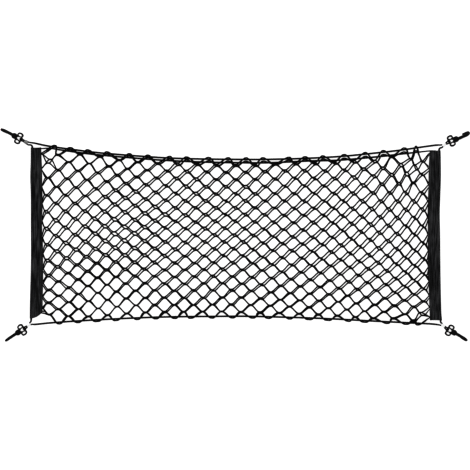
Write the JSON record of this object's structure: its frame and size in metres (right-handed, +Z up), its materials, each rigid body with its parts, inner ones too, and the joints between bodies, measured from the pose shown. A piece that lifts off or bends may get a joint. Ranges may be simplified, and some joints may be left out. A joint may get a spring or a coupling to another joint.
{
  "type": "cargo net",
  "caption": "Flat envelope pocket of stretchy knotless netting, with woven side bands, an elastic edge cord and a plastic hook at each corner.",
  "frame": {"origin": "centre of the whole object's footprint, on the surface that it lies on", "axes": "+X to the right along the long side, +Y towards the pocket's open edge, +Z up"},
  "size_m": [1.0264, 0.4686, 0.0176],
  "materials": {
    "netting": "matt black stretch yarn, knotless mesh",
    "webbing": "matt black woven band",
    "cord": "black braided cover over an elastic core",
    "steel": "plain bright metal sleeve",
    "plastic": "satin black moulded plastic"
  },
  "bodies": {
    "root": {"net": "netting", "band_left": "webbing", "band_right": "webbing", "edge_cord": "cord", "rim_cord": "cord", "crimp_top_left": "steel", "crimp_top_right": "steel", "crimp_bottom_left": "steel", "crimp_bottom_right": "steel", "hook_top_left": "plastic", "hook_top_right": "plastic", "hook_bottom_left": "plastic", "hook_bottom_right": "plastic"}
  },
  "joints": []
}
